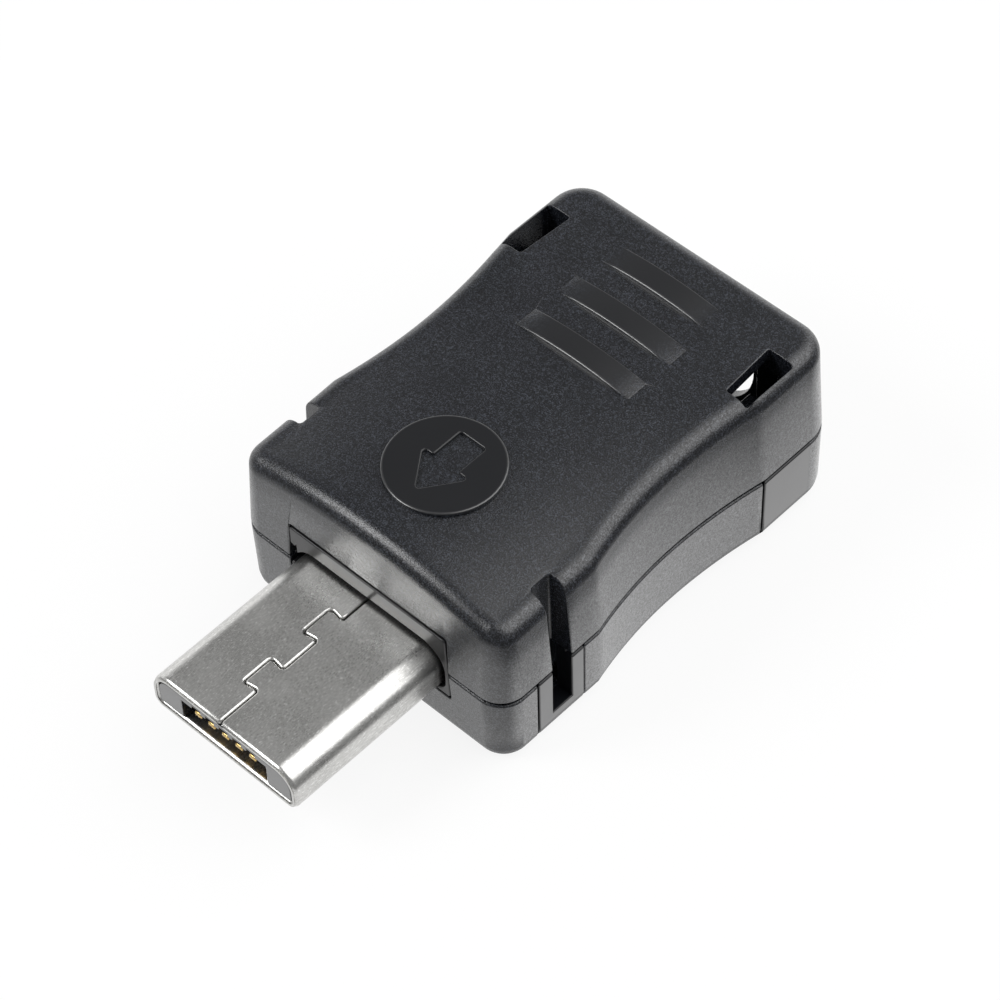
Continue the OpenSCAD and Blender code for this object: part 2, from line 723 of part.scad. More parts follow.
module latch(x) {
    root = pivot_y + root_l / 2;
    color("#b9b9b6") slab(x, latch_t) polygon([
        [latch_tip, latch_z], [hook_y0, latch_z],
        [hook_y0 + hook_l * 0.45, plug_z - hook_reach], [hook_y0 + hook_l * 0.72, plug_z - hook_reach],
        [hook_y1, latch_z], [root, latch_z], [root, latch_z + root_h],
        [pivot_y - root_l / 2, latch_z + root_h], [pivot_y - root_l / 2 - 0.4, latch_z + latch_h],
        [latch_tip, latch_z + latch_h]]);
}

module latch_left() { latch(-latch_x); }
module latch_right() { latch(latch_x); }

module at_origin() {
    translate([0, origin_y, 0]) children();
}

at_origin() lower_shell();
at_origin() upper_shell();
at_origin() collar();
at_origin() plug_shell();
at_origin() insulator();
at_origin() contact_1();
at_origin() contact_2();
at_origin() contact_3();
at_origin() contact_4();
at_origin() contact_5();
at_origin() latch_left();
at_origin() latch_right();
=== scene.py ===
"""Looks of a micro USB plug: edges, finishes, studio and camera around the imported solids."""

import logging
import math
from dataclasses import dataclass
from enum import Enum
from typing import Any, Mapping, Sequence, Union

import bpy
from mathutils import Matrix, Vector


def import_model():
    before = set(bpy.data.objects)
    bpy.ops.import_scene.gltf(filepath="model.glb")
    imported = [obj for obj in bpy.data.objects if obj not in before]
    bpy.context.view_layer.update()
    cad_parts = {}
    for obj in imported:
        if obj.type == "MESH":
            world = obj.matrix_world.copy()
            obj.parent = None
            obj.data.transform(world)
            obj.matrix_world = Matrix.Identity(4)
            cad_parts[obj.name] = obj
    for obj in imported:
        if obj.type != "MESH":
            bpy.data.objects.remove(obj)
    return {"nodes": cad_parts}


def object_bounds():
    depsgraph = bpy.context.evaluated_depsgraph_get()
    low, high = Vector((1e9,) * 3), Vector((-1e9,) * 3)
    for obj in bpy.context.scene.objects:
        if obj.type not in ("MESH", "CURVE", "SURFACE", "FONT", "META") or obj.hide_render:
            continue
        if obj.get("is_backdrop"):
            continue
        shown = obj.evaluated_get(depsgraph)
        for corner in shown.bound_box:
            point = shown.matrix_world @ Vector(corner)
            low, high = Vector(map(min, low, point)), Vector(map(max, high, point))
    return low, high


LOG = logging.getLogger("plug")

# the solids are in metres, and the sizes here are in millimetres
MM = 0.001
# noise swings around this value
NOISE_MIDDLE = 0.5

Colour = tuple[float, float, float]
Point = tuple[float, float, float]
Span = tuple[float, float]
Term = Union["Sock", float, Sequence[float]]

WHITE: Colour = (1.0, 1.0, 1.0)


class Op(Enum):
    """Operations that an expression on sockets may add."""

    ADD = "ADD"
    SUBTRACT = "SUBTRACT"
    MULTIPLY = "MULTIPLY"
    DIVIDE = "DIVIDE"
    POWER = "POWER"
    ABSOLUTE = "ABSOLUTE"
    MAXIMUM = "MAXIMUM"
    GREATER_THAN = "GREATER_THAN"


class Side(Enum):
    """Side of the middle plane, seen from the rear with the arrow up."""

    LEFT = "left"
    RIGHT = "right"


class Sock:
    """A socket that takes part in Python expressions, each operator adding one node."""

    def __init__(self, paint: "Paint", socket: bpy.types.NodeSocket) -> None:
        """Wraps a socket.

        Args:
            paint: Node tree that the socket belongs to.
            socket: Output socket to read from.
        """
        self.paint = paint
        self.socket = socket

    @property
    def is_vector(self) -> bool:
        """True where the socket carries a vector."""
        return self.socket.type == "VECTOR"

    def _join(self, op: Op, first: Term, second: Term | None = None) -> "Sock":
        """Adds the Math or Vector Math node of one operator.

        Args:
            op: Operation to add.
            first: Left operand.
            second: Right operand, where the operation has one.

        Returns:
            The result of the operation.
        """
        terms = [term for term in (first, second) if term is not None]
        vector = any(isinstance(term, Sock) and term.is_vector for term in terms)
        kind = "ShaderNodeVectorMath" if vector else "ShaderNodeMath"
        return self.paint.node(kind, {"operation": op.value}, dict(enumerate(terms)))

    def __add__(self, other: Term) -> "Sock":
        """Sum."""
        return self._join(Op.ADD, self, other)

    def __radd__(self, other: Term) -> "Sock":
        """Sum with the socket on the right."""
        return self._join(Op.ADD, other, self)

    def __sub__(self, other: Term) -> "Sock":
        """Difference."""
        return self._join(Op.SUBTRACT, self, other)

    def __rsub__(self, other: Term) -> "Sock":
        """Difference with the socket on the right."""
        return self._join(Op.SUBTRACT, other, self)

    def __mul__(self, other: Term) -> "Sock":
        """Product."""
        return self._join(Op.MULTIPLY, self, other)

    def __rmul__(self, other: Term) -> "Sock":
        """Product with the socket on the right."""
        return self._join(Op.MULTIPLY, other, self)

    def __truediv__(self, other: Term) -> "Sock":
        """Quotient."""
        return self._join(Op.DIVIDE, self, other)

    def __pow__(self, other: Term) -> "Sock":
        """Power."""
        return self._join(Op.POWER, self, other)

    def __abs__(self) -> "Sock":
        """Size without its sign."""
        return self._join(Op.ABSOLUTE, self)

    def higher(self, other: Term) -> "Sock":
        """The higher of two values."""
        return self._join(Op.MAXIMUM, self, other)

    def above(self, other: Term) -> "Sock":
        """1 where the value is above another, and 0 elsewhere."""
        return self._join(Op.GREATER_THAN, self, other)

    def swing(self) -> "Sock":
        """How far a noise lies from its middle value."""
        return self - NOISE_MIDDLE

    def between(self, low: Term, high: Term) -> "Sock":
        """Goes from one value to another, with the socket as the share.

        Args:
            low: Value where the socket is 0.
            high: Value where the socket is 1.

        Returns:
            The value between them.
        """
        return low + self * (high - low)

    def rise(self, low: float, high: float) -> "Sock":
        """Smooth step from 0 at one value to 1 at another.

        Args:
            low: Value at which the step gives 0.
            high: Value at which the step gives 1; it may lie below low.

        Returns:
            The step, held at 0 and 1 outside.
        """
        settings = {"interpolation_type": "SMOOTHSTEP"}
        if low <= high:
            return self.paint.node("ShaderNodeMapRange", settings, {0: self, 1: low, 2: high})
        falling = {0: self, 1: high, 2: low, 3: 1.0, 4: 0.0}
        return self.paint.node("ShaderNodeMapRange", settings, falling)

    def within(self, low: float, high: float, soft: float) -> "Sock":
        """Mask of a span with soft ends.

        Args:
            low: Lower end of the span.
            high: Upper end of the span.
            soft: Length over which each end fades.

        Returns:
            1 inside the span and 0 outside.
        """
        return self.rise(low - soft, low + soft) * self.rise(high + soft, high - soft)


class Paint:
    """Node tree of one material, world or modifier."""

    def __init__(self, tree: bpy.types.NodeTree) -> None:
        """Takes over a node tree and empties it.

        Args:
            tree: Tree that gets the nodes.
        """
        self.tree = tree
        self.tree.nodes.clear()

    @classmethod
    def of(cls, owner: bpy.types.ID) -> "Paint":
        """Takes over the node tree of a material or world.

        Args:
            owner: Material or world that gets the nodes.

        Returns:
            The emptied tree.
        """
        owner.use_nodes = True
        return cls(owner.node_tree)

    def node(
        self,
        kind: str,
        settings: Mapping[str, Any] | None = None,
        inputs: Mapping[int | str, Any] | None = None,
        out: int | str = 0,
    ) -> Sock:
        """Adds any node.

        Args:
            kind: Blender's name of the node's type.
            settings: Attributes that are set first.
            inputs: Values or sockets for the node's inputs, by name or number.
            out: Name or number of the output to return.

        Returns:
            The node's output, or its first input where it has no output.
        """
        made = self.tree.nodes.new(kind)
        for name, value in (settings or {}).items():
            setattr(made, name, value)
        for key, value in (inputs or {}).items():
            if isinstance(value, Sock):
                self.tree.links.new(value.socket, made.inputs[key])
            else:
                made.inputs[key].default_value = value
        return Sock(self, made.outputs[out]) if made.outputs else Sock(self, made.inputs[0])

    def several(
        self,
        kind: str,
        inputs: Mapping[int | str, Any] | None,
        outs: Sequence[int | str],
    ) -> tuple[Sock, ...]:
        """Adds a node that is read at more than one output.

        Args:
            kind: Blender's name of the node's type.
            inputs: Values or sockets for the node's inputs, by name or number.
            outs: Names or numbers of the outputs to return.

        Returns:
            Those outputs in order.
        """
        outputs = self.node(kind, None, inputs).socket.node.outputs
        return tuple(Sock(self, outputs[out]) for out in outs)

    def mix(self, share: Term, low: Term, high: Term) -> Sock:
        """Mixes two colours.

        Args:
            share: Share of the second colour.
            low: First colour.
            high: Second colour.

        Returns:
            The mixed colour.
        """
        colours = {6: self._rgba(low), 7: self._rgba(high)}
        return self.node("ShaderNodeMix", {"data_type": "RGBA"}, {0: share, **colours}, 2)

    @staticmethod
    def _rgba(colour: Term) -> Term:
        """A plain colour with full opacity, or the socket as it is."""
        return colour if isinstance(colour, Sock) else (*colour, 1.0)

    @staticmethod
    def millimetres(metres: Sock) -> Sock:
        """A place in millimetres."""
        return metres * ((1 / MM,) * 3)

    def place(self) -> Sock:
        """Place on the resting object in millimetres."""
        return self.millimetres(self.node("ShaderNodeTexCoord", out="Object"))

    def facing(self) -> tuple[Sock, ...]:
        """Direction that the resting object's surface faces, as its x, y and z."""
        return self.axes(self.node("ShaderNodeTexCoord", out="Normal"))

    def axes(self, vector: Sock) -> tuple[Sock, ...]:
        """Splits a vector into its x, y and z."""
        return self.several("ShaderNodeSeparateXYZ", {0: vector}, (0, 1, 2))

    def bump(self, height: Sock, depth: float, strength: float) -> Sock:
        """Turns a height into a normal.

        Args:
            height: Height from 0 to 1.
            depth: Height in millimetres that 1 stands for.
            strength: Share of the bump that shows.

        Returns:
            The bumped normal.
        """
        sockets = {"Strength": strength, "Distance": depth * MM, "Height": height}
        return self.node("ShaderNodeBump", None, sockets)

    def principled(self, inputs: Mapping[str, Any]) -> None:
        """Closes a material with a Principled shader.

        Args:
            inputs: Values or sockets for the shader, by name.
        """
        shader = self.node("ShaderNodeBsdfPrincipled", None, inputs)
        self.node("ShaderNodeOutputMaterial", None, {"Surface": shader})


@dataclass(frozen=True)
class Noise:
    """Pattern of noise, even or stretched along the axes."""

    per_mm: float | Point
    layers: float = 2.0
    strength: float = 0.5

    def on(self, where: Sock) -> Sock:
        """Reads the pattern on a surface.

        Args:
            where: Place in millimetres.

        Returns:
            The noise's value.
        """
        layers = {"Detail": self.layers, "Roughness": self.strength}
        if isinstance(self.per_mm, float):
            pattern = {"Vector": where, "Scale": self.per_mm}
        else:
            pattern = {"Vector": where * self.per_mm, "Scale": 1.0}
        return where.paint.node("ShaderNodeTexNoise", None, {**pattern, **layers})


def weighted(values: Sequence[Sock], shares: Sequence[float]) -> Sock:
    """Adds values by their shares.

    Args:
        values: Values to add, one or more.
        shares: Share of each value.

    Returns:
        The weighted sum.
    """
    total = values[0] * shares[0]
    for value, share in zip(values[1:], shares[1:]):
        total = total + value * share
    return total


def widest(masks: Sequence[Sock]) -> Sock:
    """Joins masks.

    Args:
        masks: Masks to join, one or more.

    Returns:
        The highest of them at each place.
    """
    joined = masks[0]
    for mask in masks[1:]:
        joined = joined.higher(mask)
    return joined


def new_material(name: str) -> tuple[bpy.types.Material, Paint]:
    """Makes an empty material.

    Args:
        name: Name of the material.

    Returns:
        The material and its node tree.
    """
    material = bpy.data.materials.new(name)
    return material, Paint.of(material)


def modifier_group(name: str) -> tuple[bpy.types.NodeTree, Paint, Sock]:
    """Makes an empty node group for a modifier.

    Args:
        name: Name of the group.

    Returns:
        The group, its node tree and the mesh that comes in.
    """
    tree = bpy.data.node_groups.new(name, "GeometryNodeTree")
    for way in ("INPUT", "OUTPUT"):
        tree.interface.new_socket("Geometry", in_out=way, socket_type="NodeSocketGeometry")
    paint = Paint(tree)
    return tree, paint, paint.node("NodeGroupInput")


@dataclass(frozen=True)
class Zone:
    """Box on both sides of the middle plane, in millimetres."""

    low: Point
    high: Point
    soft: float = 0.03
    soft_across: float | None = None

    def mask(self, x: Sock, y: Sock, z: Sock) -> Sock:
        """Mask of the zone.

        Args:
            x: Distance from the middle plane.
            y: Place along the housing.
            z: Height.

        Returns:
            1 inside the zone and 0 outside.
        """
        softs = (self.soft_across or self.soft, self.soft, self.soft)
        spans = zip((x, y, z), self.low, self.high, softs)
        across, along, upward = (axis.within(*span) for axis, *span in spans)
        return across * along * upward


@dataclass(frozen=True)
class Disc:
    """Upright round zone on the middle plane, or a ring where it has a hole, in millimetres."""

    along: float
    radius: float
    height: float
    hole: float = 0.0
    soft: float = 0.03

    def mask(self, x: Sock, y: Sock, z: Sock) -> Sock:
        """Mask of the disc.

        Args:
            x: Distance from the middle plane.
            y: Place along the housing.
            z: Height.

        Returns:
            1 on the disc and above its lowest height, and 0 elsewhere.
        """
        reach = (x ** 2.0 + abs(y - self.along) ** 2.0) ** 0.5
        inside = reach.rise(self.radius + self.soft, self.radius - self.soft)
        if self.hole:
            inside = inside * reach.rise(self.hole - self.soft, self.hole + self.soft)
        return inside * z.rise(self.height - self.soft, self.height + self.soft)


@dataclass(frozen=True)
class Crown:
    """Upper end of the walls under a top that falls towards its front corners, in millimetres."""

    height: float
    drop: float
    half_width: float
    front_y: float
    length: float
    bend: float = 1.5

    def depth(self, x: Sock, y: Sock, z: Sock) -> Sock:
        """Depth below the upper end of the walls.

        Args:
            x: Distance from the middle plane.
            y: Place along the housing.
            z: Height.

        Returns:
            The depth, above 0 on the walls.
        """
        behind = (y - self.front_y).higher(0.0)
        fall = (1.0 - (behind / self.length) ** self.bend).higher(0.0)
        return self.height - self.drop * fall * (x / self.half_width) ** 2.0 - z


@dataclass(frozen=True)
class MouldZones:
    """Faces that a mould leaves without grain, its shiny ridges and dull cuts, and its crown."""

    polished: tuple[Zone | Disc, ...]
    satin: tuple[Zone, ...] = ()
    ridges: tuple[Zone | Disc, ...] = ()
    dull: tuple[Zone, ...] = ()
    crown: Crown | None = None


@dataclass(frozen=True)
class Rounding:
    """One radius for edges that point outwards, inside some zones and outside others."""

    radius: float
    steps: int = 3
    only: tuple[Zone, ...] = ()
    spared: tuple[Zone, ...] = ()
    sharp_deg: float = 32.0

    def apply(self, solid: bpy.types.Object) -> None:
        """Rounds the edges of a solid.

        Args:
            solid: Object that gets the modifiers.
        """
        marks = solid.modifiers.new("mark_edges", "NODES")
        marks.node_group = self._marks()
        edge = solid.modifiers.new("round_edges", "BEVEL")
        edge.width = self.radius * MM
        edge.segments = self.steps
        edge.limit_method = "WEIGHT"
        edge.use_clamp_overlap = False
        edge.miter_outer = "MITER_ARC"

    def _marks(self) -> bpy.types.NodeTree:
        """Makes the node group that marks the edges to be rounded.

        Returns:
            A group that gives each such edge a bevel weight of 1, and the others 0.
        """
        tree, paint, solid = modifier_group("edge_marks")
        angle = paint.node("GeometryNodeInputMeshEdgeAngle", out="Signed Angle")
        mark = angle.above(math.radians(self.sharp_deg))
        x, y, z = paint.axes(paint.millimetres(paint.node("GeometryNodeInputPosition")))
        if self.only:
            mark = mark * widest([zone.mask(abs(x), y, z) for zone in self.only])
        for zone in self.spared:
            mark = mark * (1.0 - zone.mask(abs(x), y, z))
        weights = {"Geometry": solid, "Name": "bevel_weight_edge", "Value": mark}
        settings = {"data_type": "FLOAT", "domain": "EDGE"}
        marked = paint.node("GeometryNodeStoreNamedAttribute", settings, weights)
        paint.node("NodeGroupOutput", None, {0: marked})
        return tree


@dataclass(frozen=True)
class EdgeDressing:
    """Rounded outer edges, crisp inner ones and even shading, made by modifiers alone."""

    roundings: tuple[Rounding, ...]
    crease_deg: float = 48.0
    flat_deg: float = 0.05
    weld: float = 0.0005

    def apply(self, solid: bpy.types.Object) -> None:
        """Joins a solid's facets, rounds its outer edges and shades it smoothly.

        Args:
            solid: Object to dress; its own mesh points stay as they are.
        """
        mesh = solid.data
        if mesh.attributes.get("custom_normal"):
            mesh.attributes.remove(mesh.attributes["custom_normal"])
        mesh.shade_smooth()
        weld = solid.modifiers.new("join_facets", "WELD")
        weld.merge_threshold = self.weld * MM
        flat = solid.modifiers.new("clear_flats", "DECIMATE")
        flat.decimate_type = "DISSOLVE"
        flat.angle_limit = math.radians(self.flat_deg)
        for rounding in self.roundings:
            rounding.apply(solid)
        creases = solid.modifiers.new("keep_creases", "NODES")
        creases.node_group = self._creases()
        even = solid.modifiers.new("even_shading", "WEIGHTED_NORMAL")
        even.mode = "FACE_AREA"
        even.keep_sharp = True

    def _creases(self) -> bpy.types.NodeTree:
        """Makes the node group that keeps steep edges crisp.

        Returns:
            A group that marks each edge as sharp where its faces meet steeply.
        """
        tree, paint, solid = modifier_group("crease_marks")
        angle = paint.node("GeometryNodeInputMeshEdgeAngle", out="Unsigned Angle")
        crease = angle.above(math.radians(self.crease_deg))
        steep = {"Geometry": solid, "Name": "sharp_edge", "Value": crease}
        settings = {"data_type": "BOOLEAN", "domain": "EDGE"}
        marked = paint.node("GeometryNodeStoreNamedAttribute", settings, steep)
        paint.node("NodeGroupOutput", None, {0: marked})
        return tree


@dataclass(frozen=True)
class Facing:
    """Masks of a moulding by the way that its surface faces."""

    upright: Sock
    rolled: Sock
    front: Sock


@dataclass(frozen=True)
class GrainedPlastic:
    """Black moulded plastic with a fine spark grain and painted glints on its peaks, polished in zones
    and glossier on upright walls.
    """

    name: str
    colour: Colour = (0.004, 0.0045, 0.0062)
    # painted glints: a lighter colour on the grain's peaks stands in for highlights
    painted_glint: Colour = (0.042, 0.047, 0.059)
    # grain in two sizes, and the clouds that vary it
    fine: Noise = Noise(19.0, 2.0, 0.7)
    coarse: Noise = Noise(8.55, 1.0)
    cloud: Noise = Noise(0.55)
    grain_shares: Span = (0.75, 0.25)
    grain_depth: float = 0.017
    grain_strength: float = 0.9
    # where the grain's height turns to painted glints, and how much the clouds vary them
    painted_glint_rise: Span = (0.44, 0.7)
    cloud_glints: float = 0.8
    cloud_rough: float = 0.06
    cloud_gloss: float = 0.16
    # how far a face's direction points up or to the front, where each mask starts and is full
    upright_rise: Span = (0.11, 0.055)
    roll_top_rise: Span = (0.97, 0.9)
    roll_foot_rise: Span = (0.3, 0.6)
    front_rise: Span = (0.25, 0.6)
    # roughness by kind of face
    grained_rough: float = 0.25
    smooth_rough: float = 0.3
    satin_rough: float = 0.38
    side_rough: float = 0.16
    specular: float = 0.55
    # gloss of walls and rolled edges, and the share of it that is left at the walls' upper end
    side_gloss: float = 0.73
    front_gloss: float = 0.3
    side_crown_share: float = 0.15
    front_crown_share: float = 0.3
    crown_fade: float = 1.0
    side_roll_gloss: float = 0.17
    front_roll_gloss: float = 0.07
    ridge_gloss: float = 0.6
    gloss_ior: float = 2.0
    gloss_rough: float = 0.3
    gloss_grain: float = 3.0
    roll_grain: float = 9.0

    def material(self, zones: MouldZones) -> bpy.types.Material:
        """Makes the plastic.

        Args:
            zones: Where the mould has no grain.

        Returns:
            The material.
        """
        material, paint = new_material(self.name)
        where = paint.place()
        x, y, z = paint.axes(where)
        at = (abs(x), y, z)
        satin = [zone.mask(*at) for zone in zones.satin]
        grained = 1.0 - widest([*(zone.mask(*at) for zone in zones.polished), *satin])
        facing = self._facing(paint)
        height = weighted((self.fine.on(where), self.coarse.on(where)), self.grain_shares)
        cloud = self.cloud.on(where).swing()
        # painted glints: the grain's peaks get a lighter colour that stands in for highlights, varied by
        # the clouds
        painted_glints = height.rise(*self.painted_glint_rise) * grained * (1.0 + self.cloud_glints * cloud)
        gloss = self._gloss(at, zones, facing, grained, height)
        paint.principled({
            "Base Color": paint.mix(painted_glints, self.colour, self.painted_glint),
            "Roughness": self._rough(facing, grained, satin) + self.cloud_rough * cloud,
            "Coat Weight": gloss * (1.0 + self.cloud_gloss * cloud),
            "Coat Roughness": self.gloss_rough,
            "Coat IOR": self.gloss_ior,
            "Specular IOR Level": self.specular,
            "Normal": paint.bump(height * grained, self.grain_depth, self.grain_strength),
        })
        return material

    def _facing(self, paint: Paint) -> Facing:
        """Masks the upright walls, the rolled edges and what faces the front.

        Args:
            paint: Node tree of the material.

        Returns:
            The masks.
        """
        _, forward, upward = paint.facing()
        upright = abs(upward).rise(*self.upright_rise)
        rolled = upward.rise(*self.roll_top_rise) * upward.rise(*self.roll_foot_rise)
        return Facing(upright, rolled, (0.0 - forward).rise(*self.front_rise))

    def _rough(self, facing: Facing, grained: Sock, satin: Sequence[Sock]) -> Sock:
        """Roughness by kind of face.

        Args:
            facing: Masks by the way that the surface faces.
            grained: Mask of the grain.
            satin: Masks of the satin faces.

        Returns:
            The roughness.
        """
        rough = grained.between(self.smooth_rough, self.grained_rough)
        for mask in satin:
            rough = rough + mask * (self.satin_rough - self.smooth_rough)
        sides = facing.upright * (1.0 - facing.front)
        return sides.between(rough, self.side_rough)

    def _gloss(
        self,
        at: tuple[Sock, Sock, Sock],
        zones: MouldZones,
        facing: Facing,
        grained: Sock,
        height: Sock,
    ) -> Sock:
        """Gloss of the walls, rolled edges and ridges, broken up by the grain.

        Args:
            at: Distance from the middle plane, place along the housing and height.
            zones: Where the mould has no grain.
            facing: Masks by the way that the surface faces.
            grained: Mask of the grain.
            height: Height of the grain.

        Returns:
            The weight of the gloss.
        """
        grain = grained * height.swing()
        walls = facing.upright * facing.front.between(self.side_gloss, self.front_gloss)
        if zones.crown:
            least = facing.front.between(self.side_crown_share, self.front_crown_share)
            below = zones.crown.depth(*at).rise(0.0, self.crown_fade)
            walls = walls * below.between(least, 1.0)
        rolls = facing.rolled * grained * (1.0 + self.roll_grain * grain).higher(0.0)
        rolls = rolls * facing.front.between(self.side_roll_gloss, self.front_roll_gloss)
        gloss = (walls * (1.0 + self.gloss_grain * grain)).higher(rolls)
        for zone in zones.ridges:
            gloss = gloss.higher(zone.mask(*at) * self.ridge_gloss)
        for zone in zones.dull:
            gloss = gloss * (1.0 - zone.mask(*at))
        return gloss


@dataclass(frozen=True)
class PolishedPlastic:
    """Black plastic from a polished mould, with faint flow lines."""

    name: str
    colour: Colour = (0.009, 0.009, 0.01)
    flow_colour: Colour = (0.016, 0.016, 0.017)
    flow: Noise = Noise((1.2, 1.2, 3.0))
    pits: Noise = Noise(11.0, 1.0)
    flow_rise: Span = (0.35, 0.7)
    bump_shares: Span = (0.6, 0.4)
    bump_depth: float = 0.004
    bump_strength: float = 0.5
    rough: float = 0.3
    flow_rough: float = 0.1
    specular: float = 0.4
    gloss: float = 0.06
    flow_gloss: float = 0.1
    gloss_ior: float = 2.0
    gloss_rough: float = 0.2

    def material(self) -> bpy.types.Material:
        """Makes the plastic.

        Returns:
            The material.
        """
        material, paint = new_material(self.name)
        where = paint.place()
        flow = self.flow.on(where)
        height = weighted((flow, self.pits.on(where)), self.bump_shares)
        paint.principled({
            "Base Color": paint.mix(flow.rise(*self.flow_rise), self.colour, self.flow_colour),
            "Roughness": self.rough + self.flow_rough * flow.swing(),
            "Coat Weight": self.gloss + self.flow_gloss * flow.swing(),
            "Coat Roughness": self.gloss_rough,
            "Coat IOR": self.gloss_ior,
            "Specular IOR Level": self.specular,
            "Normal": paint.bump(height, self.bump_depth, self.bump_strength),
        })
        return material


@dataclass(frozen=True)
class BrushedMetal:
    """Plated sheet metal, brushed along the plug and finely pitted."""

    name: str
    dull: Colour = (0.54, 0.537, 0.522)
    colour: Colour = (0.73, 0.726, 0.707)
    bright: Colour = (0.98, 0.977, 0.965)
    # marks of the brush, long and short, pits and smudges
    strokes: Noise = Noise((24.0, 2.4, 24.0), 3.0, 0.7)
    dashes: Noise = Noise((34.0, 6.0, 34.0), 2.0, 0.6)
    pits: Noise = Noise(13.0, 2.0, 0.6)
    smudge: Noise = Noise(0.6)
    # shares of all four in the shade, and of dashes and pits in the glints
    shade_shares: tuple[float, float, float, float] = (0.3, 0.35, 0.15, 0.2)
    shade_rise: Span = (0.39, 0.61)
    glint_shares: Span = (0.65, 0.35)
    glint_rise: Span = (0.56, 0.65)
    # shares of dashes, pits and smudges in the roughness, and of strokes and dashes in the scratches
    rough: float = 0.29
    rough_change: float = 0.2
    rough_shares: tuple[float, float, float] = (0.3, 0.3, 0.4)
    scratch_shares: Span = (0.5, 0.5)
    scratch_depth: float = 0.0013
    scratch_strength: float = 0.7

    def material(self) -> bpy.types.Material:
        """Makes the metal.

        Returns:
            The material.
        """
        material, paint = new_material(self.name)
        where = paint.place()
        marks = [noise.on(where) for noise in (self.strokes, self.dashes, self.pits, self.smudge)]
        strokes, dashes, pits, _ = marks
        shade = weighted(marks, self.shade_shares).rise(*self.shade_rise)
        glint = weighted((dashes, pits), self.glint_shares).rise(*self.glint_rise)
        wear = weighted(marks[1:], self.rough_shares).swing()
        scratches = weighted((strokes, dashes), self.scratch_shares)
        paint.principled({
            "Base Color": paint.mix(glint, paint.mix(shade, self.dull, self.colour), self.bright),
            "Roughness": self.rough + self.rough_change * wear,
            "Metallic": 1.0,
            "Normal": paint.bump(scratches, self.scratch_depth, self.scratch_strength),
        })
        return material


@dataclass(frozen=True)
class MouldedInsulator:
    """Black glass-filled plastic of the insulator, glossy on its moulded faces."""

    name: str
    colour: Colour = (0.012, 0.012, 0.013)
    fibre: Colour = (0.03, 0.03, 0.032)
    flow: Noise = Noise((4.0, 9.0, 4.0), 3.0, 0.6)
    pits: Noise = Noise(16.0)
    fibre_rise: Span = (0.4, 0.7)
    pit_depth: float = 0.003
    pit_strength: float = 0.5
    rough: float = 0.34
    flow_rough: float = 0.14
    gloss: float = 0.95
    pit_gloss: float = 0.1
    gloss_ior: float = 2.0
    gloss_rough: float = 0.2

    def material(self) -> bpy.types.Material:
        """Makes the plastic.

        Returns:
            The material.
        """
        material, paint = new_material(self.name)
        where = paint.place()
        flow = self.flow.on(where)
        pits = self.pits.on(where)
        paint.principled({
            "Base Color": paint.mix(flow.rise(*self.fibre_rise), self.colour, self.fibre),
            "Roughness": self.rough + self.flow_rough * flow.swing(),
            "Coat Weight": self.gloss + self.pit_gloss * pits.swing(),
            "Coat Roughness": self.gloss_rough,
            "Coat IOR": self.gloss_ior,
            "Normal": paint.bump(pits, self.pit_depth, self.pit_strength),
        })
        return material


@dataclass(frozen=True)
class GoldFlash:
    """Thin gold on stamped contacts, with the strip's rolling lines."""

    name: str
    colour: Colour = (0.83, 0.58, 0.22)
    worn: Colour = (0.7, 0.52, 0.27)
    lines: Noise = Noise((60.0, 2.0, 60.0))
    spots: Noise = Noise(5.0)
    worn_rise: Span = (0.45, 0.7)
    line_depth: float = 0.0008
    line_strength: float = 0.5
    rough: float = 0.22
    spot_rough: float = 0.16

    def material(self) -> bpy.types.Material:
        """Makes the plating.

        Returns:
            The material.
        """
        material, paint = new_material(self.name)
        where = paint.place()
        spots = self.spots.on(where)
        paint.principled({
            "Base Color": paint.mix(spots.rise(*self.worn_rise), self.colour, self.worn),
            "Roughness": self.rough + self.spot_rough * spots.swing(),
            "Metallic": 1.0,
            "Normal": paint.bump(self.lines.on(where), self.line_depth, self.line_strength),
        })
        return material


def dress(solid: bpy.types.Object, material: bpy.types.Material, edges: EdgeDressing) -> None:
    """Gives a solid its finish and its edges.

    Args:
        solid: Object to dress.
        material: Finish for the whole of it.
        edges: Edge dressing.
    """
    for slot in solid.material_slots:
        slot.material = material
    edges.apply(solid)
    LOG.info("dressed %s in %s", solid.name, material.name)


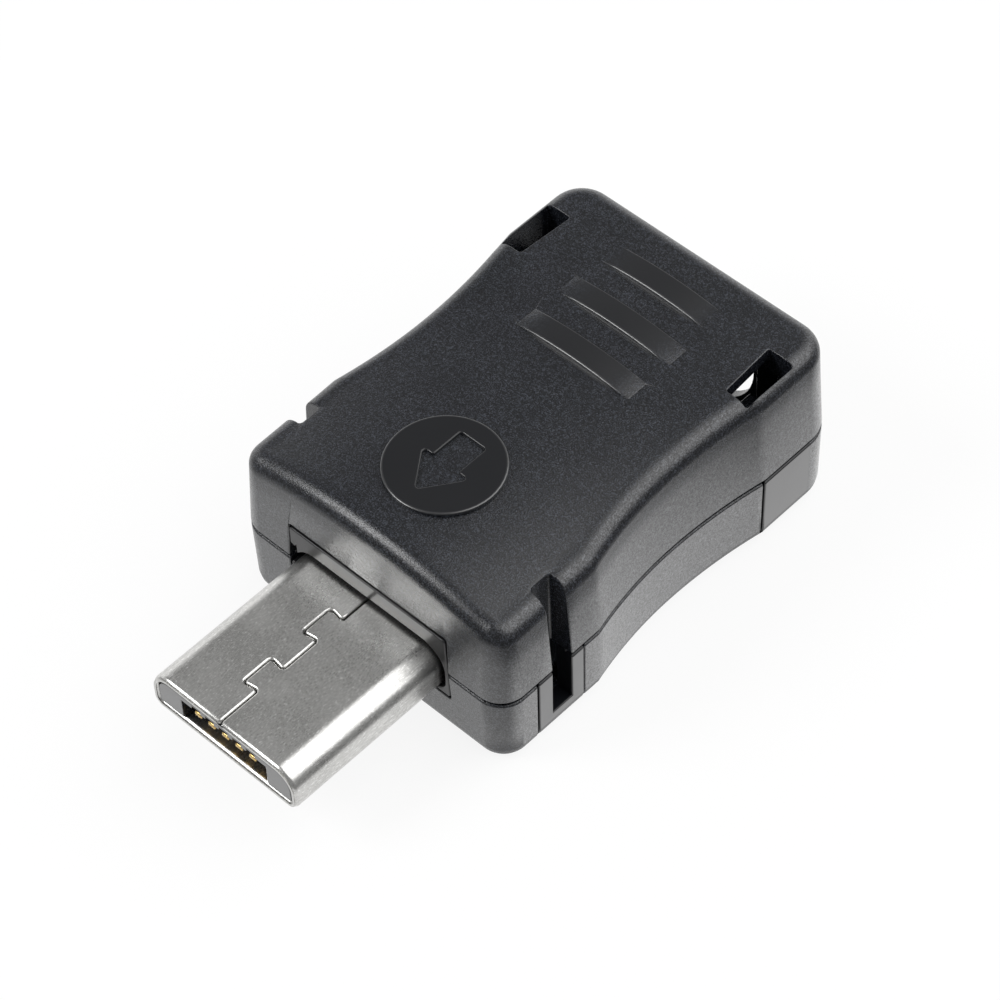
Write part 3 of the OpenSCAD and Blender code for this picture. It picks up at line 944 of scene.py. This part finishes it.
@dataclass
class Housing:
    """The two moulded shells and the collar in their front, with the source's sizes in millimetres."""

    front_y: float = -5.275
    length: float = 17.4
    height: float = 7.55
    half_width: float = 6.325
    crown_drop: float = 0.95
    crown_length: float = 12.4
    top_roll: float = 0.7
    disc_along: float = 4.05
    disc_radius: float = 2.175
    bar_half: float = 2.6
    bar_width: float = 1.0
    bar_pitch: float = 2.07
    bar_setback: float = 1.95
    bar_count: int = 3
    slot_along: float = 2.93
    slot_width: float = 0.94
    slot_depth: float = 0.96
    hole_along: float = 14.06
    hole_length: float = 2.4
    hole_span: Span = (4.65, 5.74)
    panel_front: Span = (1.75, 4.01)
    panel_rear: Span = (13.4, 15.85)
    panel_depth: float = 0.75
    panel_top: float = 4.0
    # radii of the edges
    edge: float = 0.05
    bar_edge: float = 0.05
    disc_edge: float = 0.07
    collar_edge: float = 0.06
    # how far zones reach past the shapes, stop short of them or fade
    clear: float = 1.0
    raised_root: float = 0.3
    bar_fade: float = 0.65
    bar_high_half: float = 1.8
    bar_high_soft: float = 0.1
    bar_spared_soft: float = 0.15
    ridge: float = 0.08
    ridge_root: float = 0.02
    disc_margin: float = 0.2
    disc_face: float = 0.04
    cut_margin: float = 0.04
    slot_back: float = 0.4
    slot_lip: float = 0.12
    slot_soft: float = 0.05
    hole_lip: float = 0.06
    # finishes
    upper: GrainedPlastic = GrainedPlastic("grained_black_upper")
    lower: GrainedPlastic = GrainedPlastic("grained_black_lower", side_gloss=0.88)
    collar: PolishedPlastic = PolishedPlastic("polished_black_collar")

    def along(self, from_front: float) -> float:
        """Place along Y of a distance behind the front face."""
        return self.front_y + from_front

    def bars(self, fade: float) -> list[Zone]:
        """Boxes round the grip bars.

        Args:
            fade: Half of the length over which each end of a bar fades.

        Returns:
            One zone for each bar.
        """
        zones = []
        for i in range(self.bar_count):
            rear = self.along(self.length - self.bar_setback - i * self.bar_pitch)
            low = (-self.clear, rear - self.bar_width, self.height - self.raised_root)
            high = (self.bar_half - fade, rear, self.height + self.clear)
            zones.append(Zone(low, high, soft_across=fade))
        return zones

    def ridges(self) -> list[Zone | Disc]:
        """Narrow zones along the bars' front edges and round the disc's rim.

        Returns:
            One zone for each bar, and a ring.
        """
        zones: list[Zone | Disc] = []
        for bar in self.bars(self.bar_fade):
            low = (bar.low[0], bar.low[1] - self.ridge, self.height - self.ridge_root)
            high = (bar.high[0], bar.low[1] + self.ridge, bar.high[2])
            zones.append(Zone(low, high, soft_across=self.bar_fade))
        middle = self.along(self.disc_along)
        inner, outer = self.disc_radius - self.ridge, self.disc_radius + self.ridge
        return [*zones, Disc(middle, outer, self.height + self.ridge_root, inner)]

    def panels(self) -> list[Zone]:
        """Boxes round the polished side panels of the lower shell.

        Returns:
            One zone for the front panels and one for the rear panels.
        """
        zones = []
        for front, rear in (self.panel_front, self.panel_rear):
            low = (self.half_width - self.panel_depth, self.along(front), -self.clear)
            zones.append(Zone(low, (self.half_width + self.clear, self.along(rear), self.panel_top)))
        return zones

    def slots(self) -> Zone:
        """Box inside the two side slots.

        Returns:
            The zone, a little short of the slots' outer edges.
        """
        middle = self.along(self.slot_along)
        reach = self.slot_width / 2 + self.cut_margin
        low = (self.half_width - self.slot_depth - self.slot_back, middle - reach, -self.clear)
        high = (self.half_width - self.slot_lip, middle + reach, self.height + self.clear)
        return Zone(low, high, self.slot_soft)

    def holes(self) -> Zone:
        """Box inside the two rear holes.

        Returns:
            The zone, from the inside up to just below the top face.
        """
        middle = self.along(self.hole_along)
        reach = self.hole_length / 2 + self.cut_margin
        inner, outer = self.hole_span
        low = (inner - self.cut_margin, middle - reach, -self.clear)
        return Zone(low, (outer + self.cut_margin, middle + reach, self.height - self.hole_lip))

    def upper_zones(self) -> MouldZones:
        """Zones of the upper shell's finish.

        Returns:
            The polished disc, the satin bars, the ridges, the cuts and the crown.
        """
        disc = Disc(self.along(self.disc_along), self.disc_radius, self.height + self.disc_face)
        bars = tuple(self.bars(self.bar_fade))
        wall_top = self.height - self.top_roll
        crown = Crown(wall_top, self.crown_drop, self.half_width, self.front_y, self.crown_length)
        return MouldZones((disc,), bars, tuple(self.ridges()), (self.slots(), self.holes()), crown)

    def lower_zones(self) -> MouldZones:
        """Zones of the lower shell's finish: the polished panels and the cuts."""
        return MouldZones(tuple(self.panels()), dull=(self.slots(), self.holes()))

    def upper_roundings(self) -> tuple[Rounding, ...]:
        """Rounds the bars' fronts where they stand high, the disc with its arrow, and the rest.

        Returns:
            The roundings in order.
        """
        bars = self.bars(0.0)
        spared = tuple(Zone(bar.low, bar.high, self.bar_spared_soft) for bar in bars)
        high_bars = tuple(
            Zone(bar.low, (self.bar_high_half, *bar.high[1:]), self.bar_high_soft) for bar in bars
        )
        middle = self.along(self.disc_along)
        reach = self.disc_radius + self.disc_margin
        low = (-self.clear, middle - reach, self.height - self.raised_root)
        raised = Zone(low, (reach, middle + reach, self.height + self.clear))
        return (
            Rounding(self.bar_edge, steps=2, only=high_bars),
            Rounding(self.disc_edge, only=(raised,)),
            Rounding(self.edge, spared=(*spared, raised)),
        )

    def build(self, nodes: Mapping[str, bpy.types.Object]) -> None:
        """Dresses both shells and the collar.

        Args:
            nodes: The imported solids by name.
        """
        upper = self.upper.material(self.upper_zones())
        lower = self.lower.material(self.lower_zones())
        dress(nodes["upper_shell"], upper, EdgeDressing(self.upper_roundings()))
        dress(nodes["lower_shell"], lower, EdgeDressing((Rounding(self.edge),)))
        dress(nodes["collar"], self.collar.material(), EdgeDressing((Rounding(self.collar_edge),)))


@dataclass
class MetalShell:
    """The folded sheet round the plug, in millimetres."""

    front_y: float = -12.125
    housing_y: float = -5.275
    top: float = 3.97
    seam_reach: float = 0.85
    seam_tail: float = 6.0
    # radii of the edges
    edge: float = 0.05
    seam_edge: float = 0.09
    rim_edge: float = 0.18
    # how far zones reach past the shapes or fade
    clear: float = 9.0
    margin: float = 0.1
    rim_depth: float = 0.02
    rim_soft: float = 0.01
    # finish
    nickel: BrushedMetal = BrushedMetal("brushed_nickel")

    def roundings(self) -> tuple[Rounding, ...]:
        """Rounds the seam gently, the front rim most and the other edges least.

        Returns:
            The roundings in order.
        """
        low = (-self.clear, self.front_y + self.margin, self.top - self.margin)
        high = (self.seam_reach, self.housing_y + self.seam_tail, self.top + self.margin)
        seam = Zone(low, high)
        low = (-self.clear, self.front_y - self.margin, -self.clear)
        rim = Zone(low, (self.clear, self.front_y + self.rim_depth, self.clear), self.rim_soft)
        return (
            Rounding(self.seam_edge, steps=2, only=(seam,)),
            Rounding(self.rim_edge, steps=4, only=(rim,)),
            Rounding(self.edge, spared=(seam, rim)),
        )

    def build(self, nodes: Mapping[str, bpy.types.Object]) -> None:
        """Dresses the metal shell.

        Args:
            nodes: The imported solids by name.
        """
        dress(nodes["plug_shell"], self.nickel.material(), EdgeDressing(self.roundings()))


@dataclass
class ContactBlock:
    """The insulator with its row of contacts, in millimetres."""

    count: int = 5
    edge: float = 0.03
    plastic: MouldedInsulator = MouldedInsulator("moulded_insulator")
    gold: GoldFlash = GoldFlash("gold_flash")

    def build(self, nodes: Mapping[str, bpy.types.Object]) -> None:
        """Dresses the insulator and each contact.

        Args:
            nodes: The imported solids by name.
        """
        edges = EdgeDressing((Rounding(self.edge, steps=2),))
        dress(nodes["insulator"], self.plastic.material(), edges)
        gold = self.gold.material()
        for i in range(1, self.count + 1):
            dress(nodes[f"contact_{i}"], gold, edges)


@dataclass
class Latches:
    """The two spring blades with their hooks, in millimetres."""

    edge: float = 0.03
    steel: BrushedMetal = BrushedMetal(
        "spring_steel", dull=(0.48, 0.48, 0.47), colour=(0.58, 0.58, 0.57), rough=0.3
    )

    def build(self, nodes: Mapping[str, bpy.types.Object]) -> None:
        """Dresses both blades.

        Args:
            nodes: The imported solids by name.
        """
        edges = EdgeDressing((Rounding(self.edge, steps=2),))
        steel = self.steel.material()
        for side in Side:
            dress(nodes[f"latch_{side.value}"], steel, edges)


@dataclass(frozen=True)
class Softbox:
    """Round softbox that faces the plug, in millimetres, with its light as a multiple of white."""

    name: str
    at: Point
    size: float
    level: float

    def hang(self) -> None:
        """Hangs the softbox."""
        lamp = bpy.data.lights.new(self.name, "AREA")
        lamp.shape = "DISK"
        lamp.size = self.size * MM
        area = math.pi * (lamp.size / 2) ** 2
        lamp.energy = self.level * math.pi * area
        box = bpy.data.objects.new(self.name, lamp)
        box.location = Vector(self.at) * MM
        box.rotation_euler = Vector(self.at).to_track_quat("Z", "Y").to_euler()
        bpy.context.scene.collection.objects.link(box)
        LOG.info("hung %s", self.name)


@dataclass
class Studio:
    """White table, two softboxes, a room with one white wall and the camera, in millimetres."""

    floor_half: float = 3000.0
    floor_colour: Colour = (0.9, 0.9, 0.9)
    # the table's own white that the eye and reflections see, and where reflections see it bright
    floor_glow: float = 0.88
    floor_bright: float = 0.96
    floor_dim: float = 0.1
    bright_right: Span = (10.0, 10.8)
    bright_front: Span = (-10.0, -28.0)
    softboxes: tuple[Softbox, ...] = (
        Softbox("key_softbox", (111.0, 110.0, 195.0), 363.0, 1.9),
        Softbox("front_softbox", (-113.0, -144.0, 169.0), 115.0, 9.0),
    )
    # light of the room and its wall, and the directions over which the wall fades in
    room: float = 0.3
    wall: float = 1.25
    wall_height: Span = (0.65, 0.1)
    wall_turn: Span = (0.0, 1.0)
    # camera
    azimuth_deg: float = 45.835
    elevation_deg: float = 50.810
    roll_deg: float = -3.024
    focal_px: float = 3771.76
    frame_px: float = 1000.0
    sensor: float = 36.0
    clip: Span = (5.0, 20000.0)
    across: float = 4.389
    upward: float = 5.964
    distance: float = 130.659
    front_y: float = -5.275

    def build(self) -> None:
        """Builds the floor, the lights and the camera."""
        self._floor()
        for softbox in self.softboxes:
            softbox.hang()
        self._world()
        self._camera()

    def _floor(self) -> None:
        """Lays the white table, which shows its own white to the eye and in reflections."""
        mesh = bpy.data.meshes.new("table")
        h = self.floor_half * MM
        mesh.from_pydata([(-h, -h, 0), (h, -h, 0), (h, h, 0), (-h, h, 0)], [], [(0, 1, 2, 3)])
        table = bpy.data.objects.new("table", mesh)
        bpy.context.scene.collection.objects.link(table)
        material, paint = new_material("white_table")
        paper = paint.node("ShaderNodeBsdfDiffuse", None, {"Color": (*self.floor_colour, 1.0)})
        rays = ("Is Camera Ray", "Is Glossy Ray", "Is Transmission Ray")
        camera, glossy, through = paint.several("ShaderNodeLightPath", None, rays)
        x, y, _ = paint.axes(paint.place())
        middle = x.rise(*reversed(self.bright_right)) * y.rise(*reversed(self.bright_front))
        mirrored = paint.mix(middle, (self.floor_dim,) * 3, (self.floor_bright,) * 3)
        shown = paint.mix(camera, mirrored, WHITE)
        glow = paint.node("ShaderNodeEmission", None, {"Color": shown, "Strength": 1.0})
        seen = camera.higher(glossy).higher(through) * self.floor_glow
        shader = paint.node("ShaderNodeMixShader", None, {0: seen, 1: paper, 2: glow})
        paint.node("ShaderNodeOutputMaterial", None, {"Surface": shader})
        mesh.materials.append(material)
        table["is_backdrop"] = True
        LOG.info("laid the table")

    def _world(self) -> None:
        """Makes a dim room with a white wall behind the plug's left side."""
        world = bpy.data.worlds.new("room")
        bpy.context.scene.world = world
        paint = Paint.of(world)
        x, y, up = paint.axes(paint.node("ShaderNodeTexCoord", out="Generated"))
        wall = up.rise(*self.wall_height) * (y - x).rise(*self.wall_turn)
        camera = paint.node("ShaderNodeLightPath", out="Is Camera Ray")
        level = wall.between(self.room, self.wall).higher(camera)
        sockets = {"Color": (*WHITE, 1.0), "Strength": level}
        shader = paint.node("ShaderNodeBackground", None, sockets)
        paint.node("ShaderNodeOutputWorld", None, {"Surface": shader})
        LOG.info("made the room")

    def _camera(self) -> None:
        """Sets up the camera where the photograph was taken from."""
        azimuth = math.radians(self.azimuth_deg)
        elevation = math.radians(self.elevation_deg)
        roll = math.radians(self.roll_deg)
        level = Vector((math.cos(azimuth), math.sin(azimuth), 0.0))
        back = Vector((
            math.sin(azimuth) * math.cos(elevation),
            -math.cos(azimuth) * math.cos(elevation),
            math.sin(elevation),
        ))
        above = back.cross(level)
        right = math.cos(roll) * level + math.sin(roll) * above
        top = math.cos(roll) * above - math.sin(roll) * level
        aim = Vector((0.0, self.front_y, 0.0))
        eye = aim + right * self.across + top * self.upward + back * self.distance
        lens = bpy.data.cameras.new("photo_camera")
        lens.sensor_fit = "HORIZONTAL"
        lens.sensor_width = self.sensor
        lens.lens = self.focal_px * self.sensor / self.frame_px
        lens.clip_start, lens.clip_end = (end * MM for end in self.clip)
        camera = bpy.data.objects.new("photo_camera", lens)
        turned = Matrix((right, top, back)).transposed().to_4x4()
        camera.matrix_world = Matrix.Translation(eye * MM) @ turned
        bpy.context.scene.collection.objects.link(camera)
        bpy.context.scene.camera = camera
        LOG.info("set up the camera")


def main() -> None:
    """Builds the scene piece by piece and measures its bounds before and after dressing."""
    logging.basicConfig(level=logging.INFO, format="%(name)s: %(message)s")
    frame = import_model()
    solid_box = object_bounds()
    bpy.context.scene.view_settings.view_transform = "Standard"
    Studio().build()
    for assembly in (Housing(), MetalShell(), ContactBlock(), Latches()):
        assembly.build(frame["nodes"])
    boxes = {"cad": solid_box, "visual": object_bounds()}
    boxes = {name: [list(corner) for corner in box] for name, box in boxes.items()}
    LOG.info("wrote the sizes")


if __name__ == "__main__":
    main()
